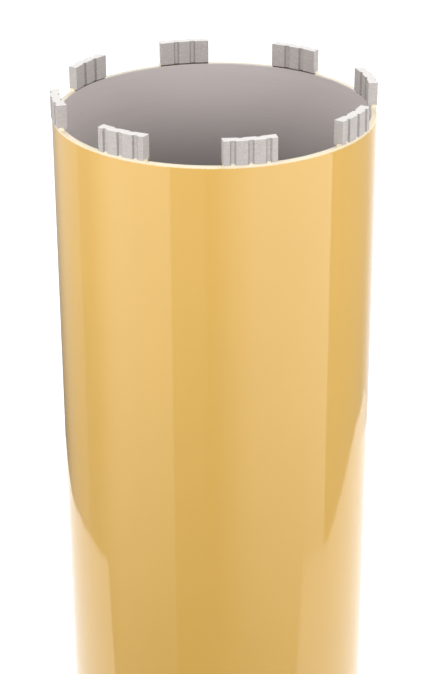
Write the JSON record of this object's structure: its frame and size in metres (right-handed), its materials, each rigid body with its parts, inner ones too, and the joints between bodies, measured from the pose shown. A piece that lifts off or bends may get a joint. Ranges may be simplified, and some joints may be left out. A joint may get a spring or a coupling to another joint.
{
  "type": "diamond core bit",
  "caption": "Open steel barrel with a crown of wave-shaped diamond segments on its rim, and a hexagon hub with an inside thread on its closed rear end.",
  "frame": {"origin": "centre of the hub's end face, which the bit stands on", "axes": "+Z along the axis of rotation, from the hub towards the crown; the first segment faces -Y"},
  "size_m": [0.152, 0.152, 0.484],
  "materials": {
    "barrel_lacquer": "glossy golden yellow lacquer on the outside and the rim, bare grey steel inside the barrel",
    "hub_steel": "bare turned steel",
    "segment_sinter": "light grey sintered metal with a fine diamond grain, matt"
  },
  "bodies": {
    "root": {"barrel_tube": "barrel_lacquer", "back_plate": "barrel_lacquer", "threaded_hub": "hub_steel", "diamond_segment_1": "segment_sinter", "diamond_segment_2": "segment_sinter", "diamond_segment_3": "segment_sinter", "diamond_segment_4": "segment_sinter", "diamond_segment_5": "segment_sinter", "diamond_segment_6": "segment_sinter", "diamond_segment_7": "segment_sinter", "diamond_segment_8": "segment_sinter"}
  },
  "joints": []
}
